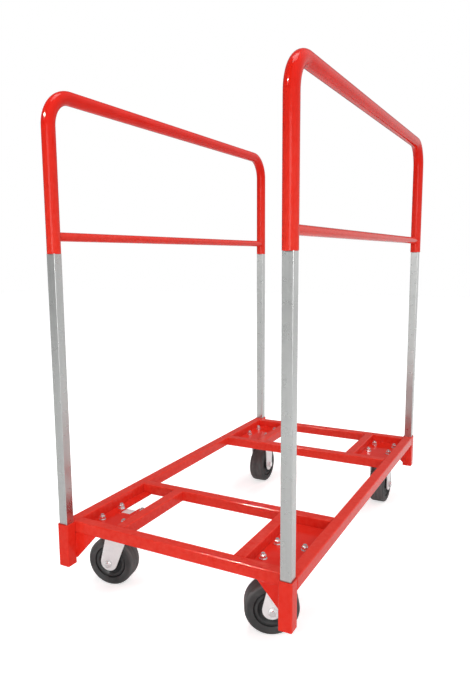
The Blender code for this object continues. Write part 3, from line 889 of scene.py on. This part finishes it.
wheel_width = 0.052
shoulder_radius = 0.0085
shoulder_steps = 8
hub_face = 0.0275
hub_radius = 0.017
web_radius = 0.031
web_depth = 0.006
rim_slope = 0.0035
groove_radius = 0.0445
groove_depth = 0.0035
bore_radius = 0.0098
mould_ease = 0.0006
mould_draft = 0.0008
wall_step = 0.001
web_lip = 0.0015
groove_lip = 0.003
rim_share = 0.1
rim_crest_share = 0.25
wall_edge_share = 0.3
line_edge_share = 0.6
wheel_sides = 96
parting_line_width = 0.0005
scuff_lanes = 150.0
scuff_stretch = (14, 14, 14)
scuff_range = (-0.6, 0.7)
patch_scale = 55.0
patch_share = 0.3
rubber_gloss = (0.48, 0.66)
rubber_gloss_scale = 80.0
rubber_specular = 0.3
rubber_grain_scale = 700.0
rubber_grain_depth = 0.00008
rubber_wall = (0.011, 0.012, 0.013, 1)
rubber_tread = (0.090, 0.090, 0.090, 1)
rubber_scuff = (0.170, 0.168, 0.165, 1)


def black_rubber():
    """Matt black rubber: greyer tread scuffed in lanes round it, dusty patches and a moulded grain."""
    material, tree, shader = new_material("black_rubber")
    tread = add_node(tree, "ShaderNodeAttribute", output="Fac", attribute_name="tread")
    offset = add_node(tree, "ShaderNodeAttribute", output="Fac", attribute_name="offset")
    lanes = add_node(tree, "ShaderNodeCombineXYZ", {0: calc(tree, "MULTIPLY", offset, scuff_lanes)})
    scuffs = clouds(tree, 1, scuff_range, scuff_stretch, lanes)
    colour = mixed(tree, tread, rubber_wall, rubber_tread)
    colour = mixed(tree, calc(tree, "MULTIPLY", tread, scuffs, clamp=True), colour, rubber_scuff)
    feed(tree, shader, {
        "Base Color": mixed(tree, clouds(tree, patch_scale, (0, patch_share)), colour, rubber_tread),
        "Roughness": clouds(tree, rubber_gloss_scale, rubber_gloss),
        "Specular IOR Level": rubber_specular,
        "Normal": bumped(tree, clouds(tree, rubber_grain_scale), rubber_grain_depth),
    })
    return material


wheel_rubber = black_rubber()


def half_wheel_profile(radius):
    """Radius, distance from the mid-plane and share of tread, from the bore out to mid-tread."""
    half = wheel_width / 2
    web_face = half - web_depth
    rim_face = half - groove_depth / 2
    rim_radius = web_radius + rim_slope
    groove_face = rim_face - groove_depth
    points = [
        (bore_radius, hub_face - mould_ease, 0),
        (bore_radius + mould_ease, hub_face, 0),
        (hub_radius - 2 * mould_ease, hub_face, 0),
        (hub_radius, hub_face - 2 * mould_ease, 0),
        (hub_radius + mould_draft, web_face, 0),
        (web_radius - web_lip, web_face, 0),
        (web_radius + mould_draft, web_face + wall_step, 0),
        (rim_radius, rim_face - mould_ease, rim_share),
        (rim_radius + 2 * mould_ease, rim_face, rim_crest_share),
        (groove_radius - groove_lip, rim_face - wall_step, rim_share),
        (groove_radius - mould_draft, groove_face, 0),
        (groove_radius, groove_face, 0),
        (groove_radius + mould_draft / 2, half - mould_ease, rim_share),
        (groove_radius + wall_step, half, wall_edge_share),
    ]
    shoulder = (half - shoulder_radius, radius - shoulder_radius)
    for step, (offset, out) in enumerate(arc(shoulder, shoulder_radius, 0, math.pi / 2, shoulder_steps)):
        points.append((out, offset, min(1, wall_edge_share + step / shoulder_steps)))
    return points + [(radius, parting_line_width * 2, 1), (radius, parting_line_width, line_edge_share)]


def along_axle(hub, across):
    """The turn and move that lay an upright axis along a caster's axle."""
    return Matrix.Translation(hub) @ across.to_track_quat("Z", "Y").to_matrix().to_4x4()


facet_down = Matrix.Rotation(math.pi / wheel_sides, 4, "Z")
for corner, (hub, across) in casters.items():
    profile = half_wheel_profile(hub.z / math.cos(math.pi / wheel_sides))
    profile += [(radius, -offset, tread) for radius, offset, tread in profile[::-1]]
    shape = turned([(radius, offset) for radius, offset, tread in profile], wheel_sides)
    shape = moved(shape, along_axle(hub, across) @ facet_down)
    wheel = solid("moulded_wheel_" + corner, shape, wheel_rubber)
    shares = wheel.data.attributes.new("tread", "FLOAT", "POINT")
    offsets = wheel.data.attributes.new("offset", "FLOAT", "POINT")
    for number, (radius, offset, tread) in enumerate(profile):
        for point in range(number * wheel_sides, (number + 1) * wheel_sides):
            shares.data[point].value = tread
            offsets.data[point].value = offset
    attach(wheel, "wheel_" + corner)
    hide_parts("caster_wheel_" + corner)

# Bolts
# Zinc-plated hex bolts and nuts: four 3/8 in bolts through each caster's slots, head below and washer and
# nut on the bay plate, and one 1/2 in axle bolt through each wheel with its spacer sleeve.

mount_sizes = {
    "Across Flats": 0.0143,
    "Head Height": 0.006,
    "Nut Height": 0.0083,
    "Shank Radius": 0.0047625,
    "Tip Length": 0.0045,
    "Thread Pitch": 0.00159,
    "Washer Radius": 0.0098,
    "Washer Thickness": 0.0016,
}
axle_sizes = {
    "Across Flats": 0.019,
    "Head Height": 0.0079,
    "Nut Height": 0.0095,
    "Shank Radius": 0.00635,
    "Tip Length": 0.003,
    "Thread Pitch": 0.00195,
}
sleeve_radius = 0.0095
sleeve_ease = 0.0005
sleeve_sides = 48
shank_sides = 32
washer_sides = 40
chamfer_sides = 48
chamfer_foot = 0.47
chamfer_spread = 1.9
thread_core = 0.93
thread_runout = 0.6
thread_ridge = 0.36
thread_sides = 6
thread_steps = 24
fastener_mottle_scale = 120.0
fastener_gloss = 0.12
fastener_metallic = 0.9

bolt_zinc = bright_zinc("bright_zinc_fastener", fastener_mottle_scale, fastener_gloss, fastener_metallic)


def bolt_tree():
    """Hex bolts on the points of a mesh, each along the point's own direction, with nut and thread."""
    inputs = [("Places", "Geometry"), ("Material", "Material")]
    inputs += [(size, "Float") for size in ["Grip", *mount_sizes]]
    inputs += [("Washer", "Bool", True), ("Seed", "Int", 11)]
    tree, given, end = new_tree("hex_bolts", "GeometryNodeTree", inputs, ("Bolts", "Geometry"))

    def raised(mesh, height):
        lift = add_node(tree, "ShaderNodeCombineXYZ", {2: height})
        return add_node(tree, "GeometryNodeTransform", {"Geometry": mesh, "Translation": lift})

    def rod(sides, radius, low, high):
        tall = calc(tree, "SUBTRACT", high, low)
        shape = {"Vertices": sides, "Radius": radius, "Depth": tall}
        middle = calc(tree, "MULTIPLY_ADD", tall, 0.5, low)
        return raised(add_node(tree, "GeometryNodeMeshCylinder", shape), middle)

    def chamfered(low, high, face_up):
        """A hex prism whose corners are turned off at the face away from the joint."""
        corner = calc(tree, "DIVIDE", given["Across Flats"], 2 * math.cos(math.pi / 6))
        tall = calc(tree, "SUBTRACT", high, low)
        bare = calc(tree, "MULTIPLY", given["Across Flats"], chamfer_foot)
        wide = calc(tree, "MULTIPLY_ADD", tall, chamfer_spread, bare)
        top, bottom = (bare, wide) if face_up else (wide, bare)
        cone = {"Vertices": chamfer_sides, "Radius Top": top, "Radius Bottom": bottom, "Depth": tall}
        cone = raised(add_node(tree, "GeometryNodeMeshCone", cone), low)
        both = {"Mesh 2": [rod(6, corner, low, high), cone]}
        return add_node(tree, "GeometryNodeMeshBoolean", both, operation="INTERSECT", solver="EXACT")

    grip = given["Grip"]
    seat = calc(tree, "MULTIPLY_ADD", given["Washer Thickness"], given["Washer"], grip)
    nut_end = calc(tree, "ADD", seat, given["Nut Height"])
    head = chamfered(calc(tree, "MULTIPLY", given["Head Height"], -1), 0.0, False)
    core = calc(tree, "MULTIPLY", given["Shank Radius"], thread_core)
    shank = rod(shank_sides, core, 0.0, calc(tree, "ADD", nut_end, given["Tip Length"]))
    washer = {"Switch": given["Washer"], "True": rod(washer_sides, given["Washer Radius"], grip, seat)}
    washer = add_node(tree, "GeometryNodeSwitch", washer, input_type="GEOMETRY")
    runout = calc(tree, "MULTIPLY", given["Thread Pitch"], thread_runout)
    helix = {
        "Resolution": thread_steps,
        "Rotations": calc(tree, "DIVIDE", given["Tip Length"], given["Thread Pitch"]),
        "Start Radius": core,
        "End Radius": core,
        "Height": calc(tree, "SUBTRACT", given["Tip Length"], runout),
    }
    ridge = calc(tree, "MULTIPLY", given["Thread Pitch"], thread_ridge)
    thread = swept(tree, add_node(tree, "GeometryNodeCurveSpiral", helix), thread_sides, ridge)
    parts = [head, chamfered(seat, nut_end, True), shank, rod(shank_sides, given["Shank Radius"], 0.0, grip)]
    parts += [washer, raised(thread, nut_end)]
    along = add_node(tree, "GeometryNodeInputNamedAttribute", {"Name": "along"}, data_type="FLOAT_VECTOR")
    placed = {
        "Points": given["Places"],
        "Instance": add_node(tree, "GeometryNodeJoinGeometry", {"Geometry": parts}),
        "Rotation": add_node(tree, "FunctionNodeAlignRotationToVector", {"Vector": along}, axis="Z"),
    }
    placed = add_node(tree, "GeometryNodeInstanceOnPoints", placed)
    turn = add_node(tree, "ShaderNodeCombineXYZ", {2: drawn(tree, 0.0, math.pi / 3, given["Seed"])})
    tight = add_node(tree, "GeometryNodeRotateInstances", {"Instances": placed, "Rotation": turn})
    return finished(tree, given, end, tight)


hex_bolts = bolt_tree()


def bolt_places(name, places):
    """A mesh of loose points, each with the direction from its bolt's head to its nut."""
    mesh = bpy.data.meshes.new(name)
    mesh.from_pydata([point for point, along in places], [], [])
    directions = mesh.attributes.new("along", "FLOAT_VECTOR", "POINT")
    for number, (point, along) in enumerate(places):
        directions.data[number].vector = along
    return mesh


mount_nodes = nodes_named("mount_bolt")
places = []
for node in mount_nodes:
    low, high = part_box(node)
    centre = (low + high) / 2
    places.append(((centre.x, centre.y, low.z + mount_sizes["Head Height"]), (0, 0, 1)))
stacked = ("Head Height", "Washer Thickness", "Nut Height", "Tip Length")
values = {"Grip": high.z - low.z - sum(mount_sizes[part] for part in stacked), "Material": bolt_zinc}
places = bolt_places("mount_bolt_places", places)
mount_bolts = grow("mount_bolts", places, hex_bolts, {**mount_sizes, **values})
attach(mount_bolts, "cart")
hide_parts(*mount_nodes)

sleeve_end = leg_inner - weld_gap
sleeve_half = [(axle_sizes["Shank Radius"], sleeve_end), (sleeve_radius - sleeve_ease, sleeve_end)]
sleeve_half += [(sleeve_radius, sleeve_end - sleeve_ease)]
sleeve_profile = [(radius, -offset) for radius, offset in sleeve_half] + sleeve_half[::-1]
seat = leg_inner + press_thickness + weld_gap
for corner, (hub, across) in casters.items():
    name = "axle_bolt_" + corner
    places = bolt_places(name + "_place", [(hub - across * seat, across)])
    values = {"Grip": 2 * seat, "Washer": False, "Seed": len(corner), "Material": bolt_zinc}
    axle_bolt = grow(name, places, hex_bolts, {**axle_sizes, **values})
    sleeve = moved(turned(sleeve_profile, sleeve_sides), along_axle(hub, across))
    sleeve = solid("axle_sleeve_" + corner, sleeve, bolt_zinc)
    body = "swivel_" + corner.split("_")[1] if corner.startswith("front") else "cart"
    for piece in (axle_bolt, sleeve):
        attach(piece, body)
        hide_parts("caster_axle_" + corner)

# Studio
# A pale floor that runs out into white and shows in gloss only behind the cart, a soft key lamp and a
# point-like glint lamp above the left front, one broad lamp overhead, a low fill lamp in front and a
# studio that is brighter on the right.

floor_reach = 12.0
floor_colour = (0.86, 0.86, 0.86, 1)
floor_roughness = 0.9
floor_glow = 0.60
floor_ramp = (-0.6, 0.4)
floor_in_gloss = 0.32
white = (1, 1, 1, 1)
lamp_aim = Vector((0.1, -0.2, 0.5))
lamps = {
    "key_lamp": {"place": (-1.92, -3.67, 3.58), "size": 1.6, "power": 20.0},
    "fill_lamp": {"place": (1.5, -5.4, 1.0), "size": 2.4, "power": 75.0},
    "glint_lamp": {"place": (-1.92, -3.67, 3.58), "size": 0.12, "power": 800.0},
    "top_lamp": {"place": (0.0, 0.0, 7.0), "size": 3.0, "power": 140.0},
}
sky_ramp = (-0.1, 0.3)
sky_left = 0.26
sky_right = 0.86

mesh = bpy.data.meshes.new("floor")
corners = [(x * floor_reach, y * floor_reach, 0) for x, y in ((-1, -1), (1, -1), (1, 1), (-1, 1))]
mesh.from_pydata(corners, [], [(0, 1, 2, 3)])
floor = stand("floor", mesh)
material, tree, shader = new_material("studio_floor")
seen = add_node(tree, "ShaderNodeLightPath", output="Is Camera Ray")
in_gloss = add_node(tree, "ShaderNodeLightPath", output="Is Glossy Ray")
depth = add_node(tree, "ShaderNodeSeparateXYZ", {0: on_object(tree)}, "Y")
behind = rescaled(tree, depth, floor_ramp, (0.0, floor_in_gloss))
shown = calc(tree, "MULTIPLY_ADD", in_gloss, behind, seen)
looks = {"Base Color": floor_colour, "Roughness": floor_roughness, "Emission Color": white}
feed(tree, shader, {**looks, "Emission Strength": calc(tree, "MULTIPLY", shown, floor_glow)})
mesh.materials.append(material)

world = bpy.data.worlds.new("studio")
world.use_nodes = True
bpy.context.scene.world = world
tree = world.node_tree
direction = add_node(tree, "ShaderNodeTexCoord", output="Generated")
aside = add_node(tree, "ShaderNodeSeparateXYZ", {0: direction}, "X")
sky = rescaled(tree, aside, sky_ramp, (sky_left, sky_right), interpolation_type="SMOOTHSTEP")
seen = add_node(tree, "ShaderNodeLightPath", output="Is Camera Ray")
feed(tree, tree.nodes["Background"], {"Color": white, "Strength": calc(tree, "MAXIMUM", sky, seen)})

for name, light in lamps.items():
    lamp = stand(name, bpy.data.lights.new(name, "AREA"))
    lamp.data.energy = light["power"]
    lamp.data.size = light["size"]
    if name == "glint_lamp":
        lamp.visible_diffuse = False
        lamp.data.cycles.max_bounces = 0
    lamp.location = light["place"]
    lamp.rotation_euler = (lamp_aim - lamp.location).to_track_quat("-Z", "Y").to_euler()

# Camera
# The photograph's own view: turned to the left of the deck's length, tipped slightly down, and shifted
# by the picture's off-centre crop.

picture_width = 470
picture_height = 675
focal_pixels = 620.271
centre_pixel = (218.061, 348.063)
camera_place = Vector((0.7706, -1.7385, 0.8912))
yaw = math.radians(28.756)
pitch = math.radians(8.330)
roll = math.radians(-0.520)

view = Matrix.Translation(camera_place)
for angle, axis in ((yaw, "Z"), (math.pi / 2 - pitch, "X"), (roll, "Z")):
    view = view @ Matrix.Rotation(angle, 4, axis)
camera = stand("camera", bpy.data.cameras.new("camera"))
camera.matrix_world = view
camera.data.lens = focal_pixels / picture_height * camera.data.sensor_width
camera.data.shift_x = (picture_width / 2 - centre_pixel[0]) / picture_height
camera.data.shift_y = (centre_pixel[1] - picture_height / 2) / picture_height
bpy.context.scene.camera = camera
bpy.context.scene.view_settings.view_transform = "Standard"
